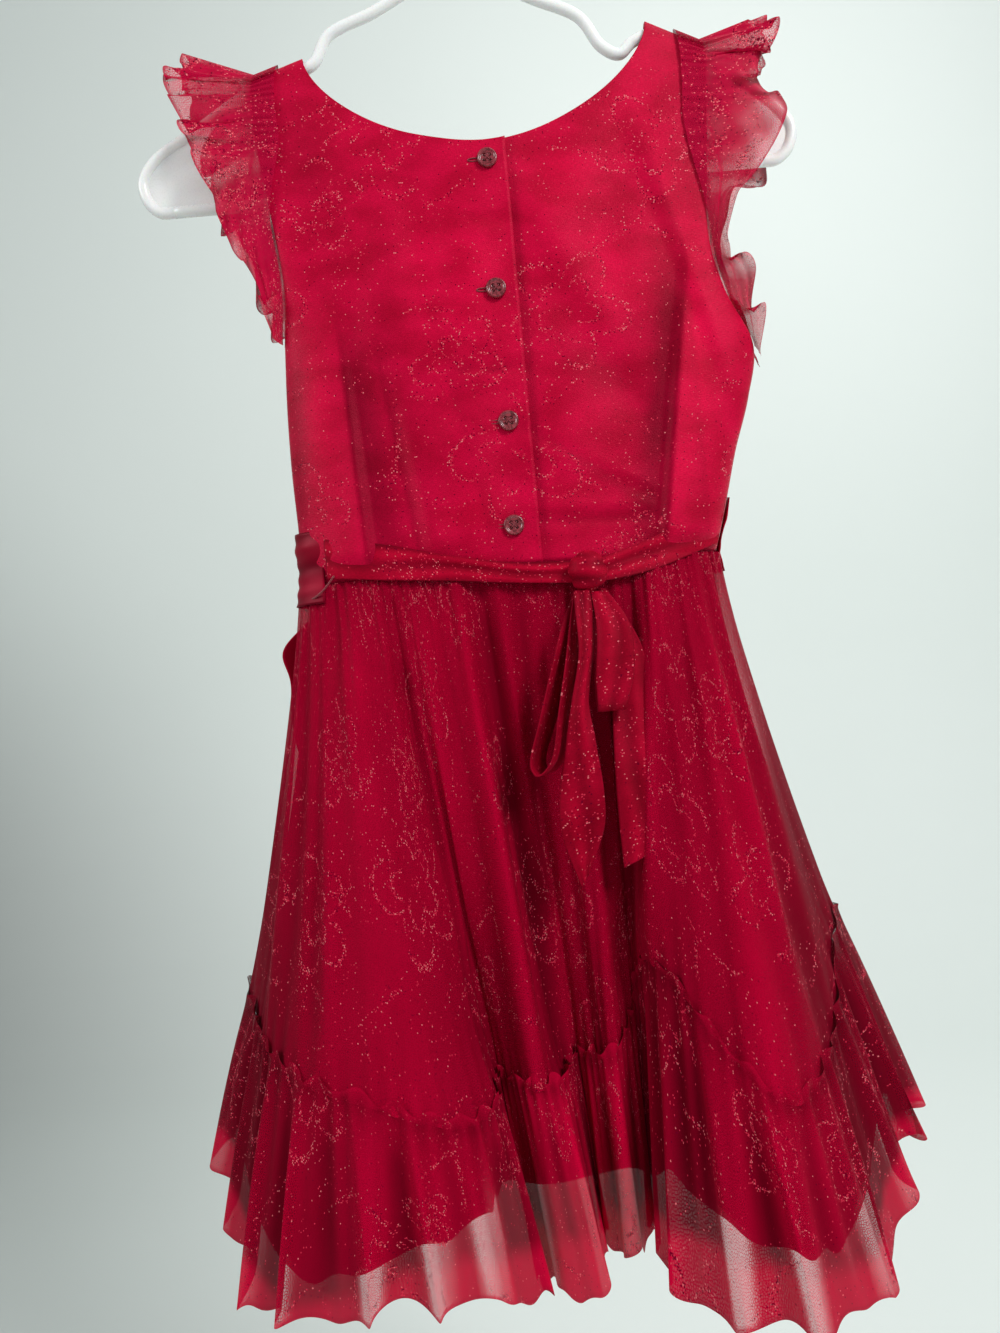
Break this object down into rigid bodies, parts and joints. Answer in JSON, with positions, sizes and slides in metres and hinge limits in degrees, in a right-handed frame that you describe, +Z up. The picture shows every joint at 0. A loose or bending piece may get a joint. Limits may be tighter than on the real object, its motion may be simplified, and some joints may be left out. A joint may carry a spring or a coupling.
{
  "type": "tulle dress on a plastic hanger",
  "caption": "Girl's satin and glitter tulle dress with flutter sleeves, buttoned back, tied belt and frilled hem, hanging on a plastic hanger by its hook.",
  "frame": {"origin": "inside top of the hanger's hook, where the rail that holds the hanger touches it", "axes": "+Z up, +Y from the buttoned back of the dress to its front, +X to the right as seen from the buttoned back"},
  "size_m": [0.4695, 0.2195, 0.8977],
  "materials": {
    "satin": "satin sheen",
    "glitter_cloth": "satin under tulle with glitter",
    "tulle": "sheer net with glitter",
    "button": "marbled, polished",
    "hanger_plastic": "smooth white"
  },
  "bodies": {
    "root": {"bodice_back_left": "glitter_cloth", "bodice_back_right": "glitter_cloth", "bodice_front": "satin", "sleeve_left": "tulle", "sleeve_right": "tulle", "skirt_lining_back": "satin", "skirt_lining_front": "satin", "skirt_tulle_back": "tulle", "skirt_tulle_front": "tulle", "hem_ruffle_back": "tulle", "hem_ruffle_front": "tulle", "front_sash": "satin", "front_sash_tail": "satin", "belt_left": "glitter_cloth", "belt_right": "glitter_cloth", "belt_knot": "glitter_cloth", "bow_loop_left": "glitter_cloth", "bow_loop_right": "glitter_cloth", "bow_tail_left": "glitter_cloth", "bow_tail_right": "glitter_cloth", "button_1": "button", "button_2": "button", "button_3": "button", "button_4": "button", "hanger_hook": "hanger_plastic", "hanger_arm_left": "hanger_plastic", "hanger_arm_right": "hanger_plastic", "hanger_bar": "hanger_plastic"}
  },
  "joints": []
}
